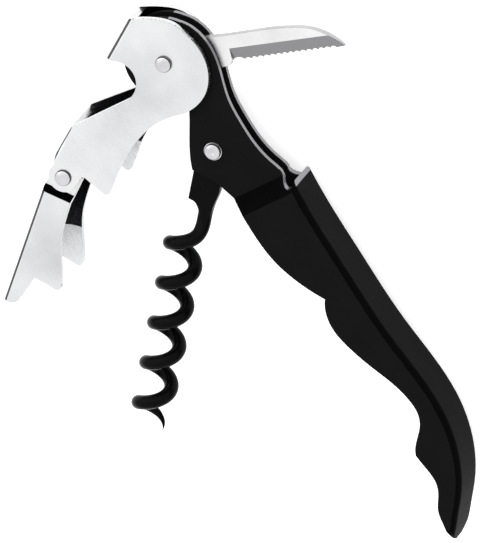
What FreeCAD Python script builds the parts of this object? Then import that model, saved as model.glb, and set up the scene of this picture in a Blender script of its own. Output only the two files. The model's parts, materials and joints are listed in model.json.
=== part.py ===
import FreeCAD, Part
import math
import os

# Double-hinged lever corkscrew, lying on its side: X runs from the head towards the tail,
# Y towards the back where the knife swings out, Z is up, across the width of the handle.
# Each piece is drawn about its own pin and then placed.  All lengths are in millimetres.

os.makedirs("parts", exist_ok=True)
doc = FreeCAD.newDocument("lever_corkscrew")
Vector = FreeCAD.Vector

# ---------------------------------------------------------------- driving dimensions
SIZES = [
    ("handle_reach", 111.8, "head pin to the tip of the tail"),
    ("handle_wall", 1.0, "sheet of the handle"),
    ("handle_bend", 1.5, "outer bend radius of the handle"),
    ("head_radius", 9.0, "round nose of the handle about the head pin"),
    ("grip_depth", 13.6, "height of the back of the grip above the head pin"),
    ("joggle_start", 30.7, "where the head begins to widen"),
    ("joggle_run", 3.3, "length over which it widens"),
    ("worm_pin_along", 20.3, "worm pin from the head pin, along the handle"),
    ("worm_pin_below", 1.4, "worm pin from the head pin, towards the belly"),
    ("lever_span", 32.55, "head pin to foot pin"),
    ("lever_wall", 1.2, "sheet of the two levers"),
    ("lever_bend", 1.0, "outer bend radius of the two levers"),
    ("hook_distance", 10.5, "head pin to the outside of the hook web"),
    ("hook_slope", 10.4, "turn of the hook web against the lever, degrees"),
    ("ear_radius", 3.1, "round end of the lever about the foot pin"),
    ("foot_reach", 30.5, "foot pin to the long prongs"),
    ("foot_web_distance", 3.3, "foot pin to the outside of the foot's web"),
    ("knife_reach", 36.9, "head pin to the tip of the knife"),
    ("knife_thickness", 1.5, "thickness of the knife"),
    ("knife_back", 3.1, "pin line to the back of the knife"),
    ("knife_edge", 2.7, "pin line to the cutting edge"),
    ("tooth_pitch", 1.3, "serration"),
    ("tooth_depth", 0.45, "serration"),
    ("shank_thickness", 2.2, "flattened shank of the worm"),
    ("worm_wire", 2.9, "diameter of the worm's wire"),
    ("worm_radius", 2.92, "centre line of the wire about the worm's axis"),
    ("worm_pitch", 9.0, "advance in one turn"),
    ("worm_turns", 5.0, "turns of the worm"),
    ("worm_start", 18.8, "worm pin to the first turn"),
    ("worm_offset", 2.6, "worm's axis below the worm pin"),
    ("worm_eye_radius", 2.65, "round end of the shank"),
    ("pin_radius", 1.1, "shank of the three rivets"),
    ("rivet_head_radius", 1.65, "head of the rivets"),
    ("rivet_head_height", 0.75, "head of the rivets"),
    ("washer_radius", 2.4, "outside of the washers on the head and foot rivets"),
    ("washer_thickness", 0.5, "washers between the handle and the lever"),
    ("ring_radius", 1.85, "outside of the rings under the worm rivet's heads"),
    ("ring_height", 0.3, "rings under the worm rivet's heads"),
    ("spacer_radius", 1.9, "outside of the tube between the foot's ears"),
    ("pin_clearance", 0.05, "hole radius less pin radius where a piece turns"),
    ("side_clearance", 0.1, "gap beside a piece that turns"),
    ("worm_gap", 0.23, "gap beside the folded worm inside the grip"),
    ("fold_gap", 0.3, "gap between the grip and the boot folded over it"),
    ("ear_gap", 0.3, "gap between the ears of the lever and those of the foot"),
    ("lever_angle", -70.0, "first lever against the handle, degrees"),
    ("foot_angle", -50.5, "second lever against the handle, degrees"),
    ("knife_angle", 73.0, "knife against the handle, degrees"),
    ("worm_angle", -43.0, "worm against the handle, degrees"),
]
sheet = doc.addObject("Spreadsheet::Sheet", "Sizes")
for row, (alias, value, note) in enumerate(SIZES, start=1):
    sheet.set("A%d" % row, alias)
    sheet.set("B%d" % row, "%s" % value)
    sheet.set("C%d" % row, note)
    sheet.setAlias("B%d" % row, alias)
doc.recompute()


def size(alias):
    """One value of the sheet."""
    return float(getattr(sheet, alias))


def worked(expression):
    """What a sheet expression comes to."""
    return float(sheet.evalExpression(expression))


# Outside widths follow from what each fold has to hold.
HEAD_WIDTH = "(Sizes.shank_thickness + 2 * Sizes.side_clearance + 2 * Sizes.handle_wall)"
GRIP_WIDTH = "(2 * Sizes.worm_radius + Sizes.worm_wire + 2 * Sizes.worm_gap + 2 * Sizes.handle_wall)"
LEVER_HEAD_WIDTH = "(%s + 2 * (Sizes.washer_thickness + Sizes.side_clearance + Sizes.lever_wall))" % HEAD_WIDTH
BOOT_WIDTH = "(%s + 2 * (Sizes.fold_gap + Sizes.lever_wall))" % GRIP_WIDTH


# ---------------------------------------------------------------- helpers
def curves(items):
    """Turn an outline into curves.  A pair is a corner, a tuple of two pairs an arc (through, to)
    and a list a smooth curve through its pairs; the outline closes on its first pair."""
    made = []
    first = here = Vector(items[0][0], items[0][1], 0)
    for item in items[1:] + [items[0]]:
        if isinstance(item, list):
            way = [here] + [Vector(x, y, 0) for x, y in item]
            curve = Part.BSplineCurve()
            curve.interpolate(way)
            made.append(curve)
            here = way[-1]
        elif isinstance(item[0], tuple):
            through = Vector(item[0][0], item[0][1], 0)
            to = Vector(item[1][0], item[1][1], 0)
            made.append(Part.Arc(here, through, to))
            here = to
        else:
            to = Vector(item[0], item[1], 0)
            if to.distanceToPoint(here) > 1e-6:
                made.append(Part.LineSegment(here, to))
            here = to
    if here.distanceToPoint(first) > 1e-6:
        made.append(Part.LineSegment(here, first))
    return made


def plate(name, items, width, plane="XY_Plane"):
    """A body: one outline on an origin plane, padded evenly to both sides by a sheet expression."""
    body = doc.addObject("PartDesign::Body", name)
    sketch = body.newObject("Sketcher::SketchObject", name + "_outline")
    base = [f for f in body.Origin.OriginFeatures if f.Role == plane][0]
    sketch.AttachmentSupport = [(base, "")]
    sketch.MapMode = "FlatFace"
    sketch.addGeometry(curves(items), False)
    pad = body.newObject("PartDesign::Pad", name + "_pad")
    pad.Profile = sketch
    pad.Midplane = True
    pad.setExpression("Length", width)
    doc.recompute()
    return body


def turned(name, items):
    """A body: a half profile (radius, height) on the XZ plane, revolved about Z."""
    body = doc.addObject("PartDesign::Body", name)
    sketch = body.newObject("Sketcher::SketchObject", name + "_profile")
    base = [f for f in body.Origin.OriginFeatures if f.Role == "XZ_Plane"][0]
    sketch.AttachmentSupport = [(base, "")]
    sketch.MapMode = "FlatFace"
    sketch.addGeometry(curves(items), False)
    spin = body.newObject("PartDesign::Revolution", name + "_spin")
    spin.Profile = sketch
    spin.ReferenceAxis = (sketch, ["V_Axis"])
    spin.Angle = 360.0
    doc.recompute()
    return body


def common(name, first, second):
    """What two solids share."""
    made = doc.addObject("Part::MultiCommon", name)
    made.Shapes = [first, second]
    doc.recompute()
    return made


def cut(name, base, tool):
    """The first solid less the second."""
    made = doc.addObject("Part::Cut", name)
    made.Base = base
    made.Tool = tool
    doc.recompute()
    return made


def fuse(name, solids):
    """Several solids joined."""
    made = doc.addObject("Part::MultiFuse", name)
    made.Shapes = solids
    made.Refine = True
    doc.recompute()
    return made


def bend(name, base, radius, wanted):
    """Round the edges that pass the test."""
    edges = [n for n, edge in enumerate(base.Shape.Edges, start=1) if wanted(edge)]
    made = doc.addObject("Part::Fillet", name)
    made.Base = base
    made.Edges = [(n, radius, radius) for n in edges]
    doc.recompute()
    return made


def rod(name, radius, height, where=(0, 0)):
    """A cylinder along Z, evenly about the middle plane, bound to sheet expressions."""
    made = doc.addObject("Part::Cylinder", name)
    made.setExpression("Radius", radius)
    made.setExpression("Height", height)
    made.setExpression("Placement.Base.z", "-(%s) / 2" % height)
    made.Placement.Base = Vector(where[0], where[1], 0)
    doc.recompute()
    return made


def drilled(name, base, radius, places):
    """Round holes right through, along Z."""
    tools = []
    for n, where in enumerate(places):
        tools.append(rod("%s_drill_%d" % (name, n), radius, "2 * %s" % BOOT_WIDTH, where))
    tool = tools[0] if len(tools) == 1 else fuse(name + "_drills", tools)
    return cut(name, base, tool)


def ring(name, hole, outside, bottom, height):
    """A flat washer whose lower face is at the height called bottom."""
    outer = doc.addObject("Part::Cylinder", name + "_disc")
    inner = doc.addObject("Part::Cylinder", name + "_bore")
    for cylinder, radius in ((outer, outside), (inner, hole)):
        cylinder.setExpression("Radius", radius)
        cylinder.setExpression("Height", height)
        cylinder.setExpression("Placement.Base.z", bottom)
    doc.recompute()
    return cut(name, outer, inner)


def inset(points, depth):
    """The same run of points moved sideways, to the right of their direction."""
    moved = []
    for n, (x, y) in enumerate(points):
        before = points[max(n - 1, 0)]
        after = points[min(n + 1, len(points) - 1)]
        run = math.hypot(after[0] - before[0], after[1] - before[1])
        moved.append((x + depth * (after[1] - before[1]) / run, y - depth * (after[0] - before[0]) / run))
    return moved


def on_circle(radius, degrees, centre=(0, 0)):
    """A point at an angle on a circle."""
    turn = math.radians(degrees)
    return (centre[0] + radius * math.cos(turn), centre[1] + radius * math.sin(turn))


FAR = 60.0                       # reaches past any piece, for cutting tools
GRIP_RUN = size("handle_reach") - size("joggle_start") - size("joggle_run")
GRIP_START = size("joggle_start") + size("joggle_run")
TURNING_HOLE = "Sizes.pin_radius + Sizes.pin_clearance"
pieces = {}                      # node name: (object, pin, angle)


def along(part):
    """Station on the grip: 0 at the end of the joggle, 1 at the tip of the tail."""
    return GRIP_START + part * GRIP_RUN


# ---------------------------------------------------------------- handle
def handle_channel():
    """One folded sheet: narrow head with open back and belly, wide grip with a closed back."""
    head = size("head_radius")
    deep = size("grip_depth")
    start = size("joggle_start")
    wall = size("handle_wall")
    back_end = (start + 1.6, deep - 2.0)
    spine = [back_end, (along(0.079), deep - 2.3), (along(0.238), deep - 2.0), (along(0.445), deep - 1.2),
             (along(0.614), deep + 0.3), (along(0.693), deep + 0.2), (along(0.762), deep - 0.8),
             (along(0.831), deep - 2.8), (along(0.891), deep - 5.6), (along(0.94), deep - 8.8),
             (along(0.975), deep - 11.2)]
    tip = (size("handle_reach"), deep - 13.2)
    worm_pin = (size("worm_pin_along"), -size("worm_pin_below"))
    belly_corner = (worm_pin[0] + 1.6, worm_pin[1] - 6.2)
    outline = [
        on_circle(head, -75),
        (on_circle(head, 180), on_circle(head, 131)),
        [(-2.9, head - 0.1), (1.3, head + 0.7), (6.0, head), (12.4, head - 1.8), (17.3, head - 2.1),
         (22.4, head - 1.9), (start - 2.4, deep - 4.9)],
        (start - 1.5, deep - 4.6),
        [(start + 0.1, deep - 4.5), (start + 1.6, deep - 4.6), (start + 2.5, deep - 4.0),
         (start + 2.4, deep - 3.1), back_end],
        spine[1:] + [tip],
        [(along(0.945), deep - 12.1), (along(0.901), deep - 11.4), (along(0.866), deep - 9.6),
         (along(0.836), deep - 8.7), (along(0.792), deep - 8.9), (along(0.749), deep - 9.4)],
        [(along(0.727), deep - 8.4), (along(0.683), deep - 5.2), (along(0.656), deep - 4.3),
         (along(0.609), deep - 4.4), (along(0.559), deep - 5.5), (along(0.495), deep - 7.7),
         (along(0.421), deep - 9.9), (along(0.364), deep - 10.8), (along(0.317), deep - 10.3),
         (along(0.284), deep - 8.9)],
        [(along(0.208), deep - 12.3), (along(0.129), deep - 14.4), (along(0.064), deep - 15.0),
         (along(0.0), deep - 15.1)],
        (start + 0.5, deep - 16.3),
        [(start - 3.4, worm_pin[1] - 2.7), (start - 5.7, worm_pin[1] - 3.9),
         (start - 7.0, worm_pin[1] - 5.0)],
        belly_corner,
        [(worm_pin[0] - 1.2, worm_pin[1] - 5.0), (worm_pin[0] - 5.8, worm_pin[1] - 2.2),
         (worm_pin[0] - 9.2, worm_pin[1] - 0.1)],
        [(7.0, -3.0), (4.5, -6.5)],
    ]
    side = plate("handle_side", outline, GRIP_WIDTH)
    narrow = worked(HEAD_WIDTH) / 2
    wide = worked(GRIP_WIDTH) / 2
    end = size("handle_reach")
    plan = plate("handle_plan", [
        (-FAR, -narrow), (start, -narrow), (GRIP_START, -wide), (end - 3.0, -wide),
        ((end + 0.2, 0), (end - 3.0, wide)), (GRIP_START, wide), (start, narrow), (-FAR, narrow),
    ], "2 * %f" % FAR, "XZ_Plane")
    blank = common("handle_blank", side, plan)
    radius = min(size("handle_bend"), wide / 2)

    def back_edge(edge):
        """Edges of the back face, along the two side walls of the grip."""
        middle = edge.valueAt((edge.FirstParameter + edge.LastParameter) / 2)
        run = edge.BoundBox
        return (run.XLength > 0.5 * GRIP_RUN and middle.y > deep - 3.5 and abs(abs(middle.z) - wide) < 0.01)

    rounded = bend("handle_rounded", blank, radius, back_edge)
    lean = wall * math.tan(math.atan((wide - narrow) / size("joggle_run")) / 2)
    inner_spine = inset(spine, wall)
    room = plate("handle_room_side", [
        (-FAR, -FAR), (-FAR, FAR), (back_end[0], FAR), inner_spine[0], inner_spine[1:],
        (inner_spine[-1][0], -FAR),
    ], GRIP_WIDTH)
    room_plan = plate("handle_room_plan", [
        (-FAR, wall - narrow), (start + lean, wall - narrow), (GRIP_START + lean, wall - wide),
        (end - 3.0, wall - wide), ((end + 0.2 - wall, 0), (end - 3.0, wide - wall)),
        (GRIP_START + lean, wide - wall), (start + lean, narrow - wall), (-FAR, narrow - wall),
    ], "2 * %f" % FAR, "XZ_Plane")
    hollow = common("handle_room", room, room_plan)
    shell = cut("handle_shell", rounded, hollow)
    return drilled("handle_channel", shell, "Sizes.pin_radius", [(0, 0), worm_pin])


# ---------------------------------------------------------------- first lever
def lever_arm():
    """One folded sheet: hook web at the head, open arm, outer web near the foot pin."""
    span = size("lever_span")
    wall = size("lever_wall")
    slope = math.radians(size("hook_slope"))
    reach = size("hook_distance")

    def hook(station, depth=0.0):
        """A point of the hook web: station along it, depth inwards from its outer face."""
        drop = reach - depth
        return (station * math.cos(slope) + drop * math.sin(slope),
                station * math.sin(slope) - drop * math.cos(slope))

    web_top = hook(-4.1)
    web_tip = hook(5.9)
    web_start = (span - 9.4, -5.5)
    web_end = (span - 3.0, -4.4)
    foot_pin = (span, 0.0)
    ear = size("ear_radius")
    outline = [
        web_tip,
        web_top,
        [(-6.4, -6.8), (-8.1, -3.6), (-8.3, -0.5), (-7.9, 2.6), (-6.6, 5.8), (-4.3, 8.4), (-1.2, 10.0),
         (2.6, 10.2), (5.6, 9.3)],
        [(8.6, 7.6), (12.1, 6.4), (15.5, 6.1), (span - 11.0, 6.75), (span - 7.0, 8.0), (span - 4.6, 8.75)],
        ((span - 3.8, 8.75), (span - 3.3, 8.1)),
        (span - 3.2, 3.6),
        ((span - 2.8, 2.7), (span - 1.9, 2.9)),
        on_circle(ear, 70, foot_pin),
        (on_circle(ear, 0, foot_pin), on_circle(ear, -100, foot_pin)),
        web_end,
        web_start,
        (span - 21.6, -0.5),
        [(span - 23.9, -0.8), (7.2, -1.7), (6.1, -3.4), (5.9, -5.2), (6.5, -7.0), (7.4, -8.2)],
    ]
    side = plate("lever_side", outline, BOOT_WIDTH)
    narrow = worked(LEVER_HEAD_WIDTH) / 2
    wide = worked(BOOT_WIDTH) / 2
    flare_start = 9.0
    flare_end = span - 8.0
    flare_run = flare_end - flare_start
    lean = wall * math.tan(math.atan((wide - narrow) / flare_run) / 2)
    plans = []
    for name, thin in (("lever_plan", 0.0), ("lever_room_plan", wall)):
        shift = lean if thin else 0.0
        plans.append(plate(name, [
            (-FAR, thin - narrow), (flare_start + shift, thin - narrow), (flare_end + shift, thin - wide),
            (FAR, thin - wide), (FAR, wide - thin), (flare_end + shift, wide - thin),
            (flare_start + shift, narrow - thin), (-FAR, narrow - thin),
        ], "2 * %f" % FAR, "XZ_Plane"))
    blank = common("lever_blank", side, plans[0])

    def web_edge(edge):
        """Long edges where the two webs meet the side walls."""
        middle = edge.valueAt((edge.FirstParameter + edge.LastParameter) / 2)
        return edge.BoundBox.XLength > 4.0 and middle.y < -4.6 and abs(middle.z) > narrow - 0.01 and (
            abs(edge.BoundBox.YLength) < 2.5)

    rounded = bend("lever_rounded", blank, min(size("lever_bend"), wall - 0.05), web_edge)
    inner_start = (web_start[0], web_start[1] + wall)
    inner_end = (web_end[0], web_end[1] + wall)
    room = plate("lever_room_side", [
        (-FAR, -FAR), (web_top[0], -FAR), web_top, hook(-4.1, wall), hook(5.9 + wall, wall),
        (hook(5.9 + wall, wall)[0], -FAR), (web_start[0], -FAR), inner_start, inner_end,
        (web_end[0], -FAR), (FAR, -FAR), (FAR, FAR), (-FAR, FAR),
    ], BOOT_WIDTH)
    hollow = common("lever_room", room, plans[1])
    shell = cut("lever_shell", rounded, hollow)
    head_hole = rod("lever_head_hole", TURNING_HOLE, "2 * %s" % BOOT_WIDTH)
    foot_hole = rod("lever_foot_hole", "Sizes.pin_radius", "2 * %s" % BOOT_WIDTH, foot_pin)
    return cut("lever_arm", shell, fuse("lever_holes", [head_hole, foot_hole]))


# ---------------------------------------------------------------- second lever
def lever_foot():
    """One folded sheet: narrow ears inside those of the first lever, then a wide forked boot."""
    reach = size("foot_reach")
    web = -size("foot_web_distance")
    wall = size("lever_wall")
    ear = size("ear_radius")
    outline = [
        (1.6, web + 0.5),
        (3.2, web),
        (reach, web),
        ((reach + 0.1, web + 1.1), (reach - 1.0, web + 2.9)),
        [(reach - 4.0, 0.4), (reach - 7.3, 1.1)],
        [(reach - 7.2, 2.8), (reach - 6.8, 5.6)],
        ((reach - 7.2, 6.7), (reach - 8.6, 6.7)),
        [(reach - 13.8, 4.8), (reach - 17.1, 3.7), (8.2, 3.1), (4.0, 3.0)],
        (-0.6, ear + 0.4),
        (on_circle(ear, 150), on_circle(ear, 215)),
        (on_circle(ear, 250), on_circle(ear, 285)),
    ]
    side = plate("foot_side", outline, BOOT_WIDTH)
    wide = worked(BOOT_WIDTH) / 2
    narrow = wide - wall - size("ear_gap")
    step_start = ear + 0.4
    step_end = step_start + 1.1
    lean = wall * math.tan(math.atan((wide - narrow) / (step_end - step_start)) / 2)
    plans = []
    for name, thin in (("foot_plan", 0.0), ("foot_room_plan", wall)):
        shift = lean if thin else 0.0
        plans.append(plate(name, [
            (-FAR, thin - narrow), (step_start + shift, thin - narrow), (step_end + shift, thin - wide),
            (FAR, thin - wide), (FAR, wide - thin), (step_end + shift, wide - thin),
            (step_start + shift, narrow - thin), (-FAR, narrow - thin),
        ], "2 * %f" % FAR, "XZ_Plane"))
    blank = common("foot_blank", side, plans[0])

    def web_edge(edge):
        """Long edges where the web meets the side walls."""
        middle = edge.valueAt((edge.FirstParameter + edge.LastParameter) / 2)
        return edge.BoundBox.XLength > 10.0 and abs(middle.y - web) < 0.1 and abs(middle.z) > wide - 0.1

    rounded = bend("foot_rounded", blank, min(size("lever_bend"), wall - 0.05), web_edge)
    room = plate("foot_room_side", [
        (-FAR, -FAR), (1.6, -FAR), (1.6, web + wall), (FAR, web + wall), (FAR, FAR), (-FAR, FAR),
    ], BOOT_WIDTH)
    hollow = common("foot_room", room, plans[1])
    shell = cut("foot_shell", rounded, hollow)
    return drilled("lever_foot", shell, TURNING_HOLE, [(0, 0)])


# ---------------------------------------------------------------- knife
def knife_blade():
    """A stamped blade with a scalloped edge, ground thin on its upper side."""
    reach = size("knife_reach")
    back = size("knife_back")
    edge = -size("knife_edge")
    pitch = size("tooth_pitch")
    depth = size("tooth_depth")
    first = 15.4
    teeth = int((reach - 1.9 - first) / pitch)
    outline = [
        (first + teeth * pitch, edge),
        (reach, edge + 0.15),
        [(reach - 2.9, edge + 3.1), (reach - 4.9, back - 1.5), (reach - 7.0, back - 0.7),
         (reach - 9.3, back - 0.3), (reach - 12.7, back), (17.0, back), (10.2, back)],
        [(4.0, 4.2), (-1.0, 4.1), (-3.9, 1.2), (-3.9, -1.4), (-1.0, -4.1), (4.0, -4.2), (8.0, -3.8)],
        (10.5, edge - 0.7),
        (12.4, edge - 0.4),
        ((13.6, edge + 0.7), (first, edge + 0.1)),
    ]
    for n in range(teeth):
        here = first + n * pitch
        start = (here, edge + 0.1) if n == 0 else (here, edge)
        if n:
            outline.append(start)
        outline.append(((here + pitch / 2, edge + depth), (here + pitch, edge)))
    blade = plate("knife_outline", outline, "Sizes.knife_thickness")
    half = size("knife_thickness") / 2
    wedge = doc.addObject("Part::Feature", "knife_bevel")
    corners = [Vector(13.0, 0.3, half), Vector(13.0, 0.3, FAR), Vector(13.0, -FAR, FAR),
               Vector(13.0, -FAR, half - 1.0), Vector(13.0, edge - 0.6, half - 1.0)]
    wedge.Shape = Part.Face(Part.makePolygon(corners + corners[:1])).extrude(Vector(reach, 0, 0))
    ground = cut("knife_ground", blade, wedge)
    return drilled("knife_blade", ground, TURNING_HOLE, [(0, 0)])


# ---------------------------------------------------------------- worm
def worm():
    """A round wire wound right-handed from a flattened, drilled shank to a sharp point."""
    wire = size("worm_wire") / 2
    radius = size("worm_radius")
    pitch = size("worm_pitch")
    turns = size("worm_turns")
    start = size("worm_start")
    axis = -size("worm_offset")
    line = axis + radius
    eye = size("worm_eye_radius")
    shank = plate("worm_shank", [
        on_circle(eye, 60), (on_circle(eye, 180), on_circle(eye, 300)),
        (3.4, -3.3), (12.4, -3.6), ((13.1, -1.9), (14.9, line - wire * 0.8)),
        (start - 2.2, line - wire * 0.6), (start - 2.2, line + wire * 0.6),
        (12.0, line + wire + 0.3), (9.0, 2.4), (3.4, 2.5),
    ], "Sizes.shank_thickness")

    def centre(turn):
        """Centre line of the wire after a number of turns."""
        angle = 2 * math.pi * turn
        return Vector(start + pitch * turn, axis + radius * math.cos(angle), radius * math.sin(angle))

    def heading(turn):
        """Direction of the wire there."""
        angle = 2 * math.pi * turn
        side = 2 * math.pi * radius
        return Vector(pitch, -side * math.sin(angle), side * math.cos(angle)).normalize()

    def section(point, direction, size_here):
        """A round section of the wire."""
        return Part.Wire(Part.Circle(point, direction, size_here).toShape())

    def wound(first, last, last_size):
        """The wire along the helix between two turn counts, ending at its own size or tapered."""
        thread = Part.Wire(Part.makeLongHelix(pitch, pitch * (last - first), radius).Edges)
        upright = FreeCAD.Rotation(Vector(0, 1, 0), Vector(0, 0, 1), Vector(1, 0, 0), "ZXY")
        begin = FreeCAD.Rotation(Vector(0, 0, 1), 360 * first)
        thread.Placement = FreeCAD.Placement(Vector(start + pitch * first, axis, 0), upright.multiply(begin))
        sections = [section(centre(first), heading(first), wire)]
        if last_size != wire:
            sections.append(section(centre(last), heading(last), last_size))
        return thread.makePipeShell(sections, True, True)

    sharpened = turns - 0.6                         # turns at which the point begins
    neck_start = start - 6.0
    neck = Part.makeCylinder(wire, start - neck_start, Vector(neck_start, line, 0), Vector(1, 0, 0))
    elbow = Part.makeSphere(wire + 0.03, Vector(start, line, 0))
    coil = doc.addObject("Part::Feature", "worm_coil")
    coil.Shape = neck.fuse(elbow).fuse(wound(0.0, sharpened, wire))
    point = doc.addObject("Part::Feature", "worm_point")
    point.Shape = wound(sharpened, turns, 0.15)
    whole = doc.addObject("Part::MultiFuse", "worm_whole")
    whole.Shapes = [shank, coil, point]
    whole.Refine = False
    doc.recompute()
    return drilled("worm", whole, TURNING_HOLE, [(0, 0)])


# ---------------------------------------------------------------- rivets, washers, spacer
def rivet(name, seat):
    """Shank with a domed head at each end; seat is the height of the face under a head."""
    head = size("rivet_head_radius")
    rim = 0.3 * size("rivet_head_height")
    dome = 0.7 * size("rivet_head_height")
    shank = size("pin_radius")
    ball = (head ** 2 + dome ** 2) / (2 * dome)
    edge = seat + rim
    top = edge + dome
    half_way = (head / 2, top - ball + math.sqrt(ball ** 2 - head ** 2 / 4))
    return turned(name, [
        (0, -top), ((half_way[0], -half_way[1]), (head, -edge)), (head, -seat), (shank, -seat),
        (shank, seat), (head, seat), (head, edge), (half_way, (0, top)),
    ])


def washers(name, hole, outside, low, thickness):
    """A front and a back washer, mirrored about the middle plane."""
    front = ring(name + "_front", hole, outside, low, thickness)
    back = ring(name + "_back", hole, outside, "-(%s) - (%s)" % (low, thickness), thickness)
    return front, back


HEAD_PIN = (0.0, 0.0)
WORM_PIN = (size("worm_pin_along"), -size("worm_pin_below"))
FOOT_PIN = on_circle(size("lever_span"), size("lever_angle"))
pieces["handle_channel"] = (handle_channel(), HEAD_PIN, 0.0)
pieces["lever_arm"] = (lever_arm(), HEAD_PIN, size("lever_angle"))
pieces["lever_foot"] = (lever_foot(), FOOT_PIN, size("foot_angle"))
pieces["knife_blade"] = (knife_blade(), HEAD_PIN, size("knife_angle"))
pieces["worm"] = (worm(), WORM_PIN, size("worm_angle"))
lever_seat = worked(LEVER_HEAD_WIDTH) / 2 + size("side_clearance")
ring_seat = worked(HEAD_WIDTH) / 2 + size("ring_height")
pieces["head_rivet"] = (rivet("head_rivet", lever_seat), HEAD_PIN, 0.0)
pieces["worm_rivet"] = (rivet("worm_rivet", ring_seat), WORM_PIN, 0.0)
pieces["foot_rivet"] = (rivet("foot_rivet", worked(BOOT_WIDTH) / 2), FOOT_PIN, size("lever_angle"))

KNIFE_SIDE = "Sizes.knife_thickness / 2 + Sizes.side_clearance"
WASHERS = (
    ("lever_washer", HEAD_PIN, "Sizes.pin_radius", "Sizes.washer_radius", HEAD_WIDTH + " / 2",
     "Sizes.washer_thickness"),
    ("knife_washer", HEAD_PIN, "Sizes.pin_radius", "Sizes.washer_radius", KNIFE_SIDE,
     "%s / 2 - Sizes.handle_wall - (%s)" % (HEAD_WIDTH, KNIFE_SIDE)),
    ("worm_ring", WORM_PIN, "Sizes.pin_radius", "Sizes.ring_radius", HEAD_WIDTH + " / 2",
     "Sizes.ring_height"),
    ("foot_washer", FOOT_PIN, "Sizes.pin_radius", "Sizes.washer_radius",
     BOOT_WIDTH + " / 2 - Sizes.lever_wall - Sizes.ear_gap + Sizes.side_clearance",
     "Sizes.ear_gap - Sizes.side_clearance"),
)
for stem, pin, hole, outside, low, thickness in WASHERS:
    for side, made in zip(("front", "back"), washers(stem, hole, outside, low, thickness)):
        pieces["%s_%s" % (stem, side)] = (made, pin, 0.0)
tube_length = BOOT_WIDTH + " - 4 * Sizes.lever_wall - 2 * Sizes.ear_gap"
pieces["foot_spacer"] = (ring("foot_spacer", TURNING_HOLE, "Sizes.spacer_radius",
                              "-(%s) / 2" % tube_length, tube_length), FOOT_PIN, 0.0)

# ---------------------------------------------------------------- place, check and write
for made, pin, angle in pieces.values():
    made.Placement = FreeCAD.Placement(Vector(pin[0], pin[1], 0), FreeCAD.Rotation(Vector(0, 0, 1), angle))
doc.recompute()
box = FreeCAD.BoundBox()
for made, pin, angle in pieces.values():
    box.add(made.Shape.optimalBoundingBox(False, False))
origin = Vector(box.Center.x, box.Center.y, box.ZMin)
for made, pin, angle in pieces.values():
    made.Placement.Base = made.Placement.Base - origin
doc.recompute()

for thing in doc.Objects:
    if "Invalid" in thing.State or "Error" in thing.State:
        raise RuntimeError("%s did not compute: %s" % (thing.Label, thing.State))
for node, (made, pin, angle) in pieces.items():
    made.Label = node
    shape = made.Shape
    if shape.isNull() or not shape.isValid() or len(shape.Solids) != 1:
        raise RuntimeError("%s is not one sound solid" % node)
for node, (made, pin, angle) in pieces.items():
    made.Shape.exportStep("parts/%s.step" % node)
    print("%-20s volume %9.3f  solids %d" % (node, made.Shape.Volume, len(made.Shape.Solids)))
for name, pin in (("head pin", HEAD_PIN), ("worm pin", WORM_PIN), ("foot pin", FOOT_PIN)):
    print("%s at %.4f %.4f %.4f" % (name, pin[0] - origin.x, pin[1] - origin.y, -origin.z))
print("box %.2f x %.2f x %.2f" % (box.XLength, box.YLength, box.ZLength))
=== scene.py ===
import json
import logging
import math
from dataclasses import dataclass, field
from enum import Enum

import bpy
import numpy as np
from mathutils import Matrix, Vector


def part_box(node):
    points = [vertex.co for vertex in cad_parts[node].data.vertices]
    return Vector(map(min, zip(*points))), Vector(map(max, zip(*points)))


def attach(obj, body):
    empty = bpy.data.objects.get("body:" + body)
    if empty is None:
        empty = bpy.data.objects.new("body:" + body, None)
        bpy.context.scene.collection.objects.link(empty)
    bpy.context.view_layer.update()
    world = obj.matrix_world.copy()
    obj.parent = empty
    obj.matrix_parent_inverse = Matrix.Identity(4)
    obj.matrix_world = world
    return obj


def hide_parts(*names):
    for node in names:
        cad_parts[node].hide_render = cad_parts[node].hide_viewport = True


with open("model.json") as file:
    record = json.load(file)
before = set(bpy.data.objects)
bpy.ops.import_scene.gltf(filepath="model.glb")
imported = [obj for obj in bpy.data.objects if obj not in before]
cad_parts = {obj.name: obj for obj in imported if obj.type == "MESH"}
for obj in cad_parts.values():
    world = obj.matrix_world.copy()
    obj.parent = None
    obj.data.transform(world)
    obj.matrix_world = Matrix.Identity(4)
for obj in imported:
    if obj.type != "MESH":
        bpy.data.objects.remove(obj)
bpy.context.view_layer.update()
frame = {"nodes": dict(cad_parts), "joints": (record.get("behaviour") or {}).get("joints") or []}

MM = 0.001
LOG = logging.getLogger("lever_corkscrew")

# How flat a face lies is the height of its normal: 1 on a side wall, 0 on a cut edge or a web.
SIDE_WALL = 0.93                 # flatter than this is a side wall
CUT_EDGE = 0.12                  # steeper than this is a cut edge
STEEP = 0.3                      # steeper than this is a cut edge with its broken corner
STEP_SLOPE = 0.9                 # the sloping step of the foot, which gets painted shade, lies between STEEP and this
RIM_SLOPE = (0.02, 0.86)         # the rim of a rivet's head, which gets painted shade
BEVEL_SLOPE = (0.8, 0.995)       # the ground side of the knife, which gets painted shade
INWARD = -0.3 * MM               # height above the middle plane times the normal's, on inner faces that get painted shade
OPEN_BACK = 33.4 * MM            # the handle's back is open from the head to here, from the head pin
ABOVE_PIN = 5.0 * MM             # the bare edges of the back lie higher than this above the head pin
GRAIN_RANGE = (0.3, 0.7)         # the part of a noise that is stretched over the roughness
GRAIN_DEPTH = 0.05 * MM          # depth of the relief
MOTTLE_DETAIL = 3.0
GRAIN_DETAIL = 4.0


class BareOrShade(Enum):
    """Which faces of a sheet-metal piece look different from its main face: the bare steel of the handle's
    back edges, and painted shade on the other choices.
    """

    NONE = "none"
    BACK_EDGES = "back_edges"
    INSIDE_SHADE = "inside"
    BEVEL = "bevel"
    RIM_SHADE = "rim"


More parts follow.
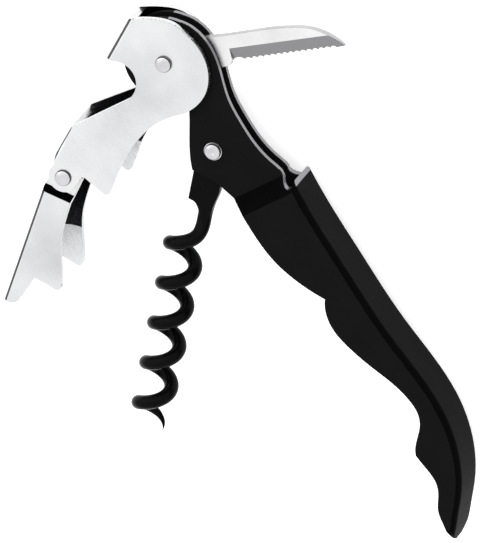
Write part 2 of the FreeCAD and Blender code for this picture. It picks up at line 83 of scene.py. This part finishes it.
def joint_place(name: str) -> np.ndarray:
    """Find a joint's place.

    Args:
        name: the joint's name in the frame.

    Returns:
        Its position in metres.
    """
    found = [joint for joint in frame["joints"] if joint["name"] == name][0]
    return np.array(found["pos_m"], float)


HEAD_PIN = joint_place("lever_pivot")
WORM_PIN = joint_place("worm_pivot")
FOOT_PIN = joint_place("foot_pivot")


def turn_about_z(points: np.ndarray, degrees: float, pin: np.ndarray) -> np.ndarray:
    """Turn points drawn about the origin by an angle about Z and carry them to a pin.

    Args:
        points: an array (..., 3) in metres.
        degrees: the angle.
        pin: where the origin goes.

    Returns:
        The placed points.
    """
    angle = math.radians(degrees)
    turn = np.array([[math.cos(angle), -math.sin(angle), 0.0],
                     [math.sin(angle), math.cos(angle), 0.0],
                     [0.0, 0.0, 1.0]])
    return points @ turn.T + pin


def grid_object(name: str, points: np.ndarray, closed_across: bool, ends: bool) -> bpy.types.Object:
    """Make a mesh from a grid of points.

    Args:
        name: the object's name.
        points: an array (rows, columns, 3); neighbours on the grid are joined by quads.
        closed_across: whether the last column joins the first.
        ends: whether the first and last rows are closed with a fan about their centres.

    Returns:
        The object, smooth shaded, with a UV map that follows the grid.
    """
    rows, columns = points.shape[:2]
    across = columns if closed_across else columns - 1
    row, column = np.meshgrid(np.arange(rows - 1), np.arange(across), indexing="ij")
    following = (column + 1) % columns
    quads = np.stack([row * columns + column, row * columns + following,
                      (row + 1) * columns + following, (row + 1) * columns + column], axis=-1).reshape(-1, 4)
    vertices = points.reshape(-1, 3)
    faces = quads.tolist()
    if ends:
        centres = np.stack([points[0].mean(axis=0), points[-1].mean(axis=0)])
        vertices = np.vstack([vertices, centres])
        here = np.arange(columns)
        after = (here + 1) % columns
        low = np.stack([after, here, np.full(columns, rows * columns)], axis=-1)
        last = (rows - 1) * columns
        high = np.stack([last + here, last + after, np.full(columns, rows * columns + 1)], axis=-1)
        faces += low.tolist() + high.tolist()
    mesh = bpy.data.meshes.new(name)
    mesh.from_pydata(vertices.tolist(), [], faces)
    mesh.update()
    corner = np.zeros(len(mesh.loops), dtype=np.int32)
    mesh.loops.foreach_get("vertex_index", corner)
    u = np.append(np.repeat(np.linspace(0.0, 1.0, rows), columns), [0.0, 1.0])[: len(vertices)]
    v = np.append(np.tile(np.linspace(0.0, 1.0, columns), rows), [0.5, 0.5])[: len(vertices)]
    layer = mesh.uv_layers.new(name="UVMap")
    layer.data.foreach_set("uv", np.stack([u[corner], v[corner]], axis=-1).ravel())
    mesh.polygons.foreach_set("use_smooth", np.ones(len(mesh.polygons), dtype=bool))
    made = bpy.data.objects.new(name, mesh)
    bpy.context.scene.collection.objects.link(made)
    return made


def apply_modifiers(made: bpy.types.Object) -> None:
    """Replace an object's mesh with what its modifiers make of it.

    Args:
        made: the object.
    """
    bpy.context.view_layer.update()
    graph = bpy.context.evaluated_depsgraph_get()
    result = bpy.data.meshes.new_from_object(made.evaluated_get(graph))
    made.modifiers.clear()
    made.data = result


@dataclass(frozen=True)
class Finish:
    """One surface finish: a base, a fine mottling, a relief, and an optional second look by place, which is
    bare steel on the handle's back edges and painted shade elsewhere.
    """

    name: str
    colour: tuple[float, float, float]
    second: tuple[float, float, float]
    metallic: float
    roughness: float
    roughness_spread: float
    specular: float = 0.5
    mottle_scale: float = 120.0
    grain_scale: tuple[float, float, float] = (300.0, 300.0, 300.0)
    relief: float = 0.02
    # The second look by place is the bare steel of the handle's back edges, and painted shade on the levers'
    # inner faces, the foot's step, the knife's ground side and the rivets' rims.
    bare_or_shade: BareOrShade = BareOrShade.NONE
    bare_or_shade_colour: tuple[float, float, float] = (0.5, 0.5, 0.5)
    bare_or_shade_metallic: float = 1.0
    # edge_shade and cut_shade paint shade onto the broken corners and the cut edges; 1.0 leaves them as they
    # are.
    edge_shade: float = 1.0
    cut_shade: float = 1.0
    # Inner faces within clear_radius of clear_place keep the main colour; the foot's sloping step within
    # step_radius of the foot pin gets painted shade.
    clear_place: tuple[float, float] = (0.0, 0.0)
    clear_radius: float = 0.0
    step_radius: float = 0.0
    glow: float = 0.0

    def build(self) -> bpy.types.Material:
        """Make the material.

        Returns:
            A node material that reads Object coordinates, so its pattern stays on the piece.
        """
        material = bpy.data.materials.new(self.name)
        material.use_nodes = True
        tree = material.node_tree
        shader = tree.nodes["Principled BSDF"]
        shader.inputs["Specular IOR Level"].default_value = self.specular
        shader.inputs["Emission Color"].default_value = (1.0, 1.0, 1.0, 1.0)
        shader.inputs["Emission Strength"].default_value = self.glow
        place = tree.nodes.new("ShaderNodeTexCoord")
        mottle = self._noise(tree, place, (1.0, 1.0, 1.0), self.mottle_scale, MOTTLE_DETAIL)
        grain = self._noise(tree, place, self.grain_scale, 1.0, GRAIN_DETAIL)
        tint = tree.nodes.new("ShaderNodeMix")
        tint.data_type = "RGBA"
        tint.inputs["A"].default_value = (*self.colour, 1.0)
        tint.inputs["B"].default_value = (*self.second, 1.0)
        tree.links.new(mottle.outputs["Fac"], tint.inputs["Factor"])
        colour = tint.outputs["Result"]
        spread = tree.nodes.new("ShaderNodeMapRange")
        spread.inputs["From Min"].default_value, spread.inputs["From Max"].default_value = GRAIN_RANGE
        spread.inputs["To Min"].default_value = self.roughness
        spread.inputs["To Max"].default_value = self.roughness + self.roughness_spread
        tree.links.new(grain.outputs["Fac"], spread.inputs["Value"])
        tree.links.new(spread.outputs["Result"], shader.inputs["Roughness"])
        bump = tree.nodes.new("ShaderNodeBump")
        bump.inputs["Strength"].default_value = self.relief
        bump.inputs["Distance"].default_value = GRAIN_DEPTH
        tree.links.new(grain.outputs["Fac"], bump.inputs["Height"])
        tree.links.new(bump.outputs["Normal"], shader.inputs["Normal"])
        if self.bare_or_shade is BareOrShade.NONE:
            shader.inputs["Metallic"].default_value = self.metallic
        else:
            # The masked faces take the second colour: bare steel on the handle's back, painted shade on the
            # other pieces.
            upright, outward, where = self._faces(tree, place)
            mask = self._mask(tree, upright, outward, where)
            over = tree.nodes.new("ShaderNodeMix")
            over.data_type = "RGBA"
            over.inputs["B"].default_value = (*self.bare_or_shade_colour, 1.0)
            tree.links.new(mask, over.inputs["Factor"])
            tree.links.new(colour, over.inputs["A"])
            colour = over.outputs["Result"]
            # Painted shade on the broken corners and the cut edges.
            if self.edge_shade < 1.0:
                colour = self._shaded_edges(tree, colour, upright, outward)
            if self.bare_or_shade_metallic == self.metallic:
                shader.inputs["Metallic"].default_value = self.metallic
            else:
                metal = tree.nodes.new("ShaderNodeMapRange")
                metal.inputs["To Min"].default_value = self.metallic
                metal.inputs["To Max"].default_value = self.bare_or_shade_metallic
                tree.links.new(mask, metal.inputs["Value"])
                tree.links.new(metal.outputs["Result"], shader.inputs["Metallic"])
        tree.links.new(colour, shader.inputs["Base Color"])
        return material

    @staticmethod
    def _noise(tree: bpy.types.NodeTree, place: bpy.types.Node, stretch: tuple[float, float, float],
               scale: float, detail: float) -> bpy.types.Node:
        """Add a noise read on stretched Object coordinates.

        Args:
            tree: the material's nodes.
            place: its Texture Coordinate node.
            stretch: factors on the three axes.
            scale: the noise's scale.
            detail: the noise's detail.

        Returns:
            The noise node.
        """
        mapping = tree.nodes.new("ShaderNodeMapping")
        mapping.inputs["Scale"].default_value = stretch
        noise = tree.nodes.new("ShaderNodeTexNoise")
        noise.inputs["Scale"].default_value = scale
        noise.inputs["Detail"].default_value = detail
        tree.links.new(place.outputs["Object"], mapping.inputs["Vector"])
        tree.links.new(mapping.outputs["Vector"], noise.inputs["Vector"])
        return noise

    @staticmethod
    def _math(tree: bpy.types.NodeTree, operation: str, first: object, second: object) -> object:
        """Add one Math node.

        Args:
            tree: the material's nodes.
            operation: the node's operation.
            first: a socket or a number.
            second: a socket or a number.

        Returns:
            The node's result.
        """
        node = tree.nodes.new("ShaderNodeMath")
        node.operation = operation
        for socket, value in zip(node.inputs, (first, second)):
            if isinstance(value, (int, float)):
                socket.default_value = value
            else:
                tree.links.new(value, socket)
        return node.outputs[0]

    def _faces(self, tree: bpy.types.NodeTree,
               place: bpy.types.Node) -> tuple[object, object, bpy.types.Node]:
        """Read how faces lie and where they are.

        Args:
            tree: the material's nodes.
            place: its Texture Coordinate node.

        Returns:
            How flat a face lies, a value that is positive where it looks away from the middle plane, and
            the separated Object coordinates.
        """
        where = tree.nodes.new("ShaderNodeSeparateXYZ")
        tree.links.new(place.outputs["Object"], where.inputs["Vector"])
        shape = tree.nodes.new("ShaderNodeNewGeometry")
        facing = tree.nodes.new("ShaderNodeSeparateXYZ")
        tree.links.new(shape.outputs["Normal"], facing.inputs["Vector"])
        height = self._math(tree, "SUBTRACT", where.outputs["Z"], float(HEAD_PIN[2]))
        upright = self._math(tree, "ABSOLUTE", facing.outputs["Z"], 0.0)
        return upright, self._math(tree, "MULTIPLY", height, facing.outputs["Z"]), where

    def _between(self, tree: bpy.types.NodeTree, value: object, low: float, high: float) -> object:
        """Give 1 where a value lies between two limits, and 0 elsewhere.

        Args:
            tree: the material's nodes.
            value: the socket that is read.
            low: the lower limit.
            high: the upper limit.

        Returns:
            The resulting socket.
        """
        return self._math(tree, "MULTIPLY", self._math(tree, "GREATER_THAN", value, low),
                          self._math(tree, "LESS_THAN", value, high))

    @staticmethod
    def _darkened(tree: bpy.types.NodeTree, colour: object, where: object, shade: float) -> object:
        """Paint shade: multiply a colour by a shade.

        Args:
            tree: the material's nodes.
            colour: the colour so far.
            where: a socket that is 1 where it is to be darkened.
            shade: the factor.

        Returns:
            The new colour.
        """
        node = tree.nodes.new("ShaderNodeMix")
        node.data_type = "RGBA"
        node.blend_type = "MULTIPLY"
        node.inputs["B"].default_value = (shade, shade, shade, 1.0)
        tree.links.new(where, node.inputs["Factor"])
        tree.links.new(colour, node.inputs["A"])
        return node.outputs["Result"]

    def _shaded_edges(self, tree: bpy.types.NodeTree, colour: object, upright: object,
                      outward: object) -> object:
        """Paint shade onto the cut edges, and onto the broken corners between them and the outer side walls.

        Args:
            tree: the material's nodes.
            colour: the colour so far.
            upright: how flat a face lies.
            outward: positive where a face looks away from the middle plane.

        Returns:
            The darkened colour.
        """
        corner = self._math(tree, "MULTIPLY", self._between(tree, upright, CUT_EDGE, SIDE_WALL),
                            self._math(tree, "GREATER_THAN", outward, 0.0))
        colour = self._darkened(tree, colour, corner, self.edge_shade)
        cut = self._math(tree, "LESS_THAN", upright, CUT_EDGE)
        return self._darkened(tree, colour, cut, self.cut_shade)

    def _distance(self, tree: bpy.types.NodeTree, where: bpy.types.Node,
                  centre: tuple[float, float]) -> object:
        """Distance in the XY plane from a place.

        Args:
            tree: the material's nodes.
            where: the separated Object coordinates.
            centre: the place in metres.

        Returns:
            The distance.
        """
        squares = []
        for axis, value in zip("XY", centre):
            gap = self._math(tree, "SUBTRACT", where.outputs[axis], float(value))
            squares.append(self._math(tree, "MULTIPLY", gap, gap))
        return self._math(tree, "SQRT", self._math(tree, "ADD", squares[0], squares[1]), 0.0)

    def _mask(self, tree: bpy.types.NodeTree, upright: object, outward: object,
              where: bpy.types.Node) -> object:
        """Build the mask of the faces that look different: the handle's bare back edges, and the faces that
        get painted shade.

        Args:
            tree: the material's nodes.
            upright: how flat a face lies.
            outward: positive where a face looks away from the middle plane.
            where: the separated Object coordinates.

        Returns:
            A socket that is 1 on those faces and 0 elsewhere.
        """
        # A rivet's rim is painted near black as shade.
        if self.bare_or_shade is BareOrShade.RIM_SHADE:
            return self._between(tree, upright, *RIM_SLOPE)
        # The knife's ground side is painted a darker grey as shade.
        if self.bare_or_shade is BareOrShade.BEVEL:
            return self._between(tree, upright, *BEVEL_SLOPE)
        if self.bare_or_shade is BareOrShade.BACK_EDGES:
            front = self._math(tree, "LESS_THAN", where.outputs["X"], float(HEAD_PIN[0]) + OPEN_BACK)
            back = self._math(tree, "GREATER_THAN", where.outputs["Y"], float(HEAD_PIN[1]) + ABOVE_PIN)
            edge = self._math(tree, "LESS_THAN", upright, STEEP)
            return self._math(tree, "MULTIPLY", edge, self._math(tree, "MULTIPLY", front, back))
        # The levers' inner faces, away from clear_place, and the foot's sloping step near the foot pin are
        # painted near black as shade.
        inner = self._math(tree, "MULTIPLY", self._math(tree, "LESS_THAN", outward, INWARD),
                           self._math(tree, "GREATER_THAN", upright, SIDE_WALL))
        far = self._math(tree, "GREATER_THAN", self._distance(tree, where, self.clear_place),
                         self.clear_radius)
        inner = self._math(tree, "MULTIPLY", inner, far)
        near = self._math(tree, "LESS_THAN", self._distance(tree, where, tuple(FOOT_PIN[:2])),
                          self.step_radius)
        step = self._math(tree, "MULTIPLY", self._between(tree, upright, STEEP, STEP_SLOPE), near)
        return self._math(tree, "MAXIMUM", inner, step)


# Handle: black coat; its back edges take the bare steel's own grey, and its broken corners get painted
# shade.
HANDLE_COAT = Finish("handle_coat", (0.0060, 0.0060, 0.0063), (0.0088, 0.0088, 0.0092), 0.0, 0.34, 0.10,
                     specular=0.006, mottle_scale=160.0, grain_scale=(2600.0, 2600.0, 2600.0), relief=0.10,
                     bare_or_shade=BareOrShade.BACK_EDGES, bare_or_shade_colour=(0.24, 0.24, 0.25), bare_or_shade_metallic=1.0, edge_shade=0.3)
# Levers: the inner faces and the foot's step are painted near black as shade, and edges and cut edges get
# painted shade.
CHROME = dict(metallic=1.0, roughness=0.20, roughness_spread=0.14, mottle_scale=55.0,
              grain_scale=(500.0, 1900.0, 700.0), relief=0.05, bare_or_shade=BareOrShade.INSIDE_SHADE,
              bare_or_shade_colour=(0.018, 0.018, 0.02), edge_shade=0.10, cut_shade=0.80)
LEVER_STEEL = Finish("lever_steel", (1.0, 1.0, 1.0), (0.46, 0.47, 0.485), clear_radius=6.5 * MM,
                     clear_place=tuple(turn_about_z(np.array([28.0, 9.0, 0.0]) * MM, -70.0, HEAD_PIN)[:2]),
                     **CHROME)
FOOT_STEEL = Finish("foot_steel", (1.0, 1.0, 1.0), (0.46, 0.47, 0.485), clear_radius=9.5 * MM,
                    clear_place=tuple(turn_about_z(np.array([25.0, 5.0, 0.0]) * MM, -50.5, FOOT_PIN)[:2]),
                    step_radius=6.0 * MM, **CHROME)
# Knife: the ground side is painted a darker grey as shade, and edges and cut edges get painted shade.
KNIFE_STEEL = Finish("knife_steel", (0.96, 0.96, 0.96), (0.64, 0.64, 0.65), 1.0, 0.24, 0.16,
                     mottle_scale=140.0, grain_scale=(3200.0, 300.0, 900.0), relief=0.06,
                     bare_or_shade=BareOrShade.BEVEL, bare_or_shade_colour=(0.27, 0.27, 0.28), edge_shade=0.25, cut_shade=0.45)
WORM_COAT = Finish("worm_coat", (0.0012, 0.0012, 0.0014), (0.0030, 0.0030, 0.0034), 0.0, 0.14, 0.10,
                   specular=0.05, mottle_scale=260.0, grain_scale=(900.0, 900.0, 900.0), relief=0.08)
# Rivets and worm rings: the rim of the head is painted near black as shade, and the broken corners get a 1 %
# painted shade.
RIVET_STEEL = Finish("rivet_steel", (0.74, 0.74, 0.75), (0.50, 0.50, 0.52), 1.0, 0.16, 0.12,
                     mottle_scale=420.0, grain_scale=(1500.0, 1500.0, 1500.0), relief=0.06,
                     bare_or_shade=BareOrShade.RIM_SHADE, bare_or_shade_colour=(0.05, 0.05, 0.055), edge_shade=0.99)
WASHER_STEEL = Finish("washer_steel", (0.50, 0.50, 0.51), (0.38, 0.38, 0.40), 1.0, 0.30, 0.14,
                      mottle_scale=300.0, grain_scale=(1200.0, 1200.0, 1200.0), relief=0.08)


@dataclass
class SheetMetal:
    """The stamped pieces, each a copy of its designed solid with its sharp corners broken."""

    corner: float = 0.22 * MM
    weld: float = 0.002 * MM
    flat_angle: float = math.radians(0.4)
    corner_angle: float = math.radians(40.0)
    segments: int = 2
    pieces: tuple[tuple[str, str, str, Finish, float], ...] = (
        ("handle_shell", "handle_channel", "handle", HANDLE_COAT, 32.0),
        ("first_lever", "lever_arm", "lever", LEVER_STEEL, 32.0),
        ("second_lever", "lever_foot", "foot", FOOT_STEEL, 32.0),
        ("serrated_blade", "knife_blade", "knife", KNIFE_STEEL, 12.0),
    )

    def build(self, materials: dict[str, bpy.types.Material]) -> None:
        """Make every stamped piece.

        Args:
            materials: materials by finish name.
        """
        for name, node, body, finish, crease in self.pieces:
            made = self.softened(name, node, crease)
            made.data.materials.clear()
            made.data.materials.append(materials[finish.name])
            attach(made, body)
            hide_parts(node)
            LOG.info("%s stands for %s", name, node)

    def softened(self, name: str, node: str, crease: float) -> bpy.types.Object:
        """Copy a designed solid, merge it and round its sharp edges.

        Args:
            name: the new object's name.
            node: the solid's node.
            crease: angle in degrees above which an edge stays sharp in the shading.

        Returns:
            The new object.
        """
        source = frame["nodes"][node]
        mesh = source.data.copy()
        mesh.name = name
        made = bpy.data.objects.new(name, mesh)
        bpy.context.scene.collection.objects.link(made)
        weld = made.modifiers.new("weld", "WELD")
        weld.merge_threshold = self.weld
        flat = made.modifiers.new("flat", "DECIMATE")
        flat.decimate_type = "DISSOLVE"
        flat.angle_limit = self.flat_angle
        bevel = made.modifiers.new("corner", "BEVEL")
        bevel.width = self.corner
        bevel.segments = self.segments
        bevel.limit_method = "ANGLE"
        bevel.angle_limit = self.corner_angle
        bevel.use_clamp_overlap = True
        bevel.harden_normals = False
        apply_modifiers(made)
        made.data.polygons.foreach_set("use_smooth", np.ones(len(made.data.polygons), dtype=bool))
        made.data.set_sharp_from_angle(angle=math.radians(crease))
        even = made.modifiers.new("even", "WEIGHTED_NORMAL")
        even.keep_sharp = True
        apply_modifiers(made)
        return made


@dataclass
class Worm:
    """The worm: a flattened shank that runs into a right-handed round wire with a sharp point."""

    angle: float = -43.0
    eye: float = 2.65 * MM
    shank_half: float = 1.1 * MM
    wire: float = 1.45 * MM
    radius: float = 2.92 * MM
    pitch: float = 9.0 * MM
    turns: float = 5.0
    start: float = 18.8 * MM
    offset: float = 2.6 * MM
    joined: float = 0.16
    sharpened: float = 0.6
    bend_before: float = 3.8 * MM
    shank_above: float = 2.45 * MM
    shank_below: float = 2.6 * MM
    shank_growth: float = 0.9 * MM
    growth_run: tuple[float, float] = (1.0 * MM, 4.0 * MM)
    corner_at: float = 12.4 * MM
    neck_run: float = 2.4 * MM
    neck_rise: float = 1.7 * MM
    shoulder_run: tuple[float, float] = (9.0 * MM, 13.5 * MM)
    round_run: tuple[float, float] = (12.8 * MM, 15.0 * MM)
    squareness: float = 0.18
    bend_pull: float = 1.25
    taper_power: float = 1.6
    point_share: float = 0.05
    eye_least: float = 0.0004
    straight_rows: int = 90
    bend_rows: int = 30
    turn_rows: int = 48
    around: int = 40
    finish: Finish = field(default=WORM_COAT)

    def helix(self, turn: np.ndarray) -> np.ndarray:
        """Centre line: advances by the pitch each turn and goes round the axis at its radius.

        Args:
            turn: turns made so far, an array (n,).

        Returns:
            Points in metres, an array (n, 3).
        """
        angle = 2.0 * np.pi * turn
        return np.stack([self.start + self.pitch * turn, self.radius * np.cos(angle) - self.offset,
                         self.radius * np.sin(angle)], axis=-1)

    def centre_line(self) -> tuple[np.ndarray, np.ndarray]:
        """Centre line from the eye to the point.

        Returns:
            Points, and the half size of the round wire at each: a straight run, a cubic Hermite curve that
            leaves it smoothly, and the helix.
        """
        line = self.radius - self.offset
        bend_start = self.start - self.bend_before
        straight = np.linspace(-self.eye, bend_start, self.straight_rows, endpoint=False)
        run = np.stack([straight, np.full_like(straight, line), np.zeros_like(straight)], axis=-1)
        step = 1e-4
        first = self.helix(np.array([self.joined]))[0]
        heading = self.helix(np.array([self.joined + step]))[0] - first
        heading /= np.linalg.norm(heading)
        begin = np.array([bend_start, line, 0.0])
        reach = self.bend_pull * np.linalg.norm(first - begin)
        u = np.linspace(0.0, 1.0, self.bend_rows, endpoint=False)[:, None]
        bend = (begin * (2 * u**3 - 3 * u**2 + 1) + np.array([reach, 0.0, 0.0]) * (u**3 - 2 * u**2 + u)
                + first * (3 * u**2 - 2 * u**3) + heading * reach * (u**3 - u**2))
        turn = np.linspace(self.joined, self.turns, int(self.turn_rows * (self.turns - self.joined)))
        left = np.clip((self.turns - turn) / self.sharpened, 0.0, 1.0)
        thick = self.wire * np.maximum(1.0 - (1.0 - left) ** self.taper_power, self.point_share)
        points = np.vstack([run, bend, self.helix(turn)])
        size = np.concatenate([np.full(len(run) + len(bend), self.wire), thick])
        return points, size

    def build(self, materials: dict[str, bpy.types.Material]) -> None:
        """Sweep the section along the centre line; it is a superellipse that goes from flat to round.

        Args:
            materials: materials by finish name.
        """
        points, size = self.centre_line()
        heading = np.gradient(points, axis=0)
        heading /= np.linalg.norm(heading, axis=1)[:, None]
        out = points * np.array([0.0, 1.0, 1.0]) + np.array([0.0, self.offset, 0.0])
        out -= heading * np.sum(out * heading, axis=1)[:, None]
        out /= np.linalg.norm(out, axis=1)[:, None]
        side = np.cross(heading, out)
        along = points[:, 0]
        flat = np.arange(len(points)) < self.straight_rows
        line = self.radius - self.offset
        beyond = np.clip(-along / self.eye, 0.0, 1.0)
        round_off = np.sqrt(np.clip(1.0 - beyond ** 2, self.eye_least, 1.0))
        neck = np.clip((along - self.corner_at) / self.neck_run, 0.0, 1.0)
        rise = self.neck_rise * (1.0 - np.sqrt(1.0 - (1.0 - neck) ** 2))
        shoulder = self.smooth(along, *self.shoulder_run)
        lower = -(self.shank_below + self.shank_growth * self.smooth(along, *self.growth_run))
        lower = np.where(neck > 0.0, line - self.wire - rise, lower)
        low = np.where(flat, lower, line - size)
        upper = self.shank_above * (1 - shoulder) + (line + self.wire) * shoulder
        high = np.where(flat, upper, line + size)
        low = np.where(along < 0.0, -self.eye * round_off, low)
        high = np.where(along < 0.0, self.eye * round_off, high)
        half = np.where(flat, (high - low) / 2.0, size)
        middle = np.where(flat, (high + low) / 2.0 - line, 0.0)
        rounding = self.smooth(along, *self.round_run)
        thick = np.where(flat, self.shank_half * (1 - rounding) + self.wire * rounding, size)
        power = np.where(flat, self.squareness * (1 - rounding) + rounding, 1.0)
        angle = np.linspace(0.0, 2.0 * np.pi, self.around, endpoint=False)
        cosine, sine = np.cos(angle), np.sin(angle)
        across = np.sign(cosine) * np.abs(cosine) ** power[:, None]
        through = np.sign(sine) * np.abs(sine) ** power[:, None]
        outwards = middle[:, None] + half[:, None] * across
        sideways = thick[:, None] * through
        surface = (points[:, None, :] + out[:, None, :] * outwards[..., None]
                   + side[:, None, :] * sideways[..., None])
        made = grid_object("worm_wire", turn_about_z(surface, self.angle, WORM_PIN), True, True)
        made.data.materials.append(materials[self.finish.name])
        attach(made, "worm_body")
        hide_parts("worm")
        LOG.info("worm_wire: %d faces", len(made.data.polygons))

    @staticmethod
    def smooth(value: np.ndarray, low: float, high: float) -> np.ndarray:
        """Smoothstep: 0 below low, 1 above high, a cubic between.

        Args:
            value: where it is read.
            low: where it starts to rise.
            high: where it has risen.

        Returns:
            The share at each value.
        """
        share = np.clip((value - low) / (high - low), 0.0, 1.0)
        return share * share * (3.0 - 2.0 * share)


@dataclass
class Rivets:
    """The rivets: surfaces of revolution with a broken rim and a shallow dished or domed head."""

    around: int = 56
    shank: float = 1.1 * MM
    head: float = 1.65 * MM
    rise: float = 0.75 * MM
    rim_share: float = 0.36
    rim_short: float = 0.5
    dish_share: float = 0.62
    rim_rows: int = 10
    dome_rows: int = 22
    innermost: float = 0.01 * MM
    crease: float = 40.0
    finish: Finish = field(default=RIVET_STEEL)

    def profile(self, seat: float, dish: float) -> np.ndarray:
        """Half outline of a rivet from its middle to its top.

        Args:
            seat: height of the face under the head, from the middle plane.
            dish: depth of the shallow dish in the head; zero gives a plain dome.

        Returns:
            Radius and height, an array (n, 2): shank, flat under the head, rounded rim, then a parabola
            whose middle is lowered by a cosine dish.
        """
        rim_angle = np.linspace(-np.pi / 2, np.pi / 2 - self.rim_short, self.rim_rows)
        rim = self.rim_share * self.rise
        rim_points = np.stack([self.head - rim + rim * np.cos(rim_angle),
                               seat + rim + rim * np.sin(rim_angle)], axis=-1)
        radius = np.linspace(rim_points[-1, 0], self.innermost, self.dome_rows)[1:]
        share = radius / rim_points[-1, 0]
        height = rim_points[-1, 1] + (self.rise - rim_points[-1, 1] + seat) * (1 - share**2)
        lowered = 0.5 + 0.5 * np.cos(np.pi * share / self.dish_share)
        height -= dish * np.where(share < self.dish_share, lowered, 0.0)
        shank = np.array([[self.shank, 0.0], [self.shank, seat]])
        return np.vstack([shank, rim_points, np.stack([radius, height], axis=-1)])

    def build(self, materials: dict[str, bpy.types.Material]) -> None:
        """Make the three rivets.

        Args:
            materials: materials by finish name.
        """
        for name, node, body, pin, dish in (
            ("head_rivet_turned", "head_rivet", "handle", HEAD_PIN, 0.0),
            ("worm_rivet_turned", "worm_rivet", "handle", WORM_PIN, 0.22 * MM),
            ("foot_rivet_turned", "foot_rivet", "lever", FOOT_PIN, 0.0),
        ):
            low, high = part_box(node)
            seat = (high.z - low.z) / 2.0 - self.rise
            upper = self.profile(seat, dish)
            whole = np.vstack([upper[::-1] * np.array([1.0, -1.0]), upper[1:]])
            angle = np.linspace(0.0, 2.0 * np.pi, self.around, endpoint=False)
            surface = np.stack([whole[:, :1] * np.cos(angle), whole[:, :1] * np.sin(angle),
                                np.repeat(whole[:, 1:], self.around, axis=1)], axis=-1) + pin
            made = grid_object(name, surface, True, True)
            made.data.materials.append(materials[self.finish.name])
            made.data.set_sharp_from_angle(angle=math.radians(self.crease))
            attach(made, body)
            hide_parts(node)
            LOG.info("%s on the %s body", name, body)


@dataclass
class PlainMetal:
    """Washers, rings and the spacer keep their designed solids and get their finish."""

    slots: tuple[tuple[str, Finish], ...] = (
        ("lever_washer_front", WASHER_STEEL), ("lever_washer_back", WASHER_STEEL),
        ("knife_washer_front", WASHER_STEEL), ("knife_washer_back", WASHER_STEEL),
        ("foot_washer_front", WASHER_STEEL), ("foot_washer_back", WASHER_STEEL),
        ("foot_spacer", WASHER_STEEL), ("worm_ring_front", RIVET_STEEL), ("worm_ring_back", RIVET_STEEL),
    )

    def dress(self, materials: dict[str, bpy.types.Material]) -> None:
        """Give each node its material.

        Args:
            materials: materials by finish name.
        """
        for node, finish in self.slots:
            mesh = frame["nodes"][node].data
            mesh.materials.clear()
            mesh.materials.append(materials[finish.name])
            LOG.info("%s keeps its solid", node)


@dataclass
class Studio:
    """Pale floor, soft panels, even surroundings and a long lens."""

    towards_camera: tuple[float, float, float] = (-0.180, 0.466, 0.866)
    camera_right: tuple[float, float, float] = (0.506, 0.799, -0.325)
    view_height: float = 106.5 * MM
    aim_right: float = 13.67 * MM
    aim_up: float = -42.16 * MM
    lens: float = 1200.0
    sensor: float = 36.0
    clip_start: float = 0.01
    floor_reach: float = 3.0
    floor_drop: float = 0.2 * MM
    floor_lines: int = 9
    surroundings: float = 1.1
    panels: tuple[tuple[str, tuple[float, float, float], float, float, float], ...] = (
        ("key_panel", (-0.7, -0.3, 0.65), 0.9, 0.9, 1.6),
        ("top_panel", (-0.5, 0.35, 1.0), 0.9, 0.7, 0.8),
    )

    def camera(self) -> None:
        """Stand the camera so that the view is as high as the wanted height at the head pin's plane."""
        back = Vector(self.towards_camera).normalized()
        right = Vector(self.camera_right)
        right = (right - back * right.dot(back)).normalized()
        up = back.cross(right)
        distance = self.lens * self.view_height / self.sensor
        place = Vector(HEAD_PIN) + right * self.aim_right + up * self.aim_up + back * distance
        data = bpy.data.cameras.new("camera")
        data.lens = self.lens
        data.sensor_width = self.sensor
        data.clip_start = self.clip_start
        made = bpy.data.objects.new("camera", data)
        turn = Matrix((right, up, back)).transposed().to_4x4()
        made.matrix_world = Matrix.Translation(place) @ turn
        bpy.context.scene.collection.objects.link(made)
        bpy.context.scene.camera = made

    def floor(self) -> None:
        """Lay a pale floor just under the tool."""
        line = np.linspace(-self.floor_reach, self.floor_reach, self.floor_lines)
        x, y = np.meshgrid(line, line, indexing="ij")
        low = np.full_like(x, -self.floor_drop)
        made = grid_object("floor", np.stack([x, y, low], axis=-1), False, False)
        paper = Finish("floor_paper", (0.93, 0.93, 0.93), (0.90, 0.90, 0.90), 0.0, 0.8, 0.1,
                       specular=0.1, mottle_scale=4.0, relief=0.0, glow=0.55)
        made.data.materials.append(paper.build())

    def panel(self, name: str, direction: tuple[float, float, float], distance: float, size: float,
              power: float) -> None:
        """Hang one soft panel that faces the tool.

        Args:
            name: the light's name.
            direction: from the tool towards the panel.
            distance: in metres.
            size: side of the panel in metres.
            power: in watts.
        """
        data = bpy.data.lights.new(name, "AREA")
        data.shape = "SQUARE"
        data.size = size
        data.energy = power
        made = bpy.data.objects.new(name, data)
        way = Vector(direction).normalized()
        turn = way.to_track_quat("Z", "Y").to_matrix().to_4x4()
        made.matrix_world = Matrix.Translation(way * distance) @ turn
        bpy.context.scene.collection.objects.link(made)

    def build(self) -> None:
        """Set up the whole studio."""
        self.camera()
        self.floor()
        for panel in self.panels:
            self.panel(*panel)
        bpy.context.scene.view_settings.view_transform = "Standard"
        world = bpy.data.worlds.new("surroundings")
        world.use_nodes = True
        world.node_tree.nodes["Background"].inputs["Color"].default_value = (1.0, 1.0, 1.0, 1.0)
        world.node_tree.nodes["Background"].inputs["Strength"].default_value = self.surroundings
        bpy.context.scene.world = world


def main() -> None:
    """Build the studio and every part of the tool, in order."""
    logging.basicConfig(level=logging.INFO, format="%(name)s: %(message)s")
    finishes = (HANDLE_COAT, LEVER_STEEL, FOOT_STEEL, KNIFE_STEEL, WORM_COAT, RIVET_STEEL, WASHER_STEEL)
    materials = {finish.name: finish.build() for finish in finishes}
    Studio().build()
    SheetMetal().build(materials)
    Worm().build(materials)
    Rivets().build(materials)
    PlainMetal().dress(materials)


if __name__ == "__main__":
    main()
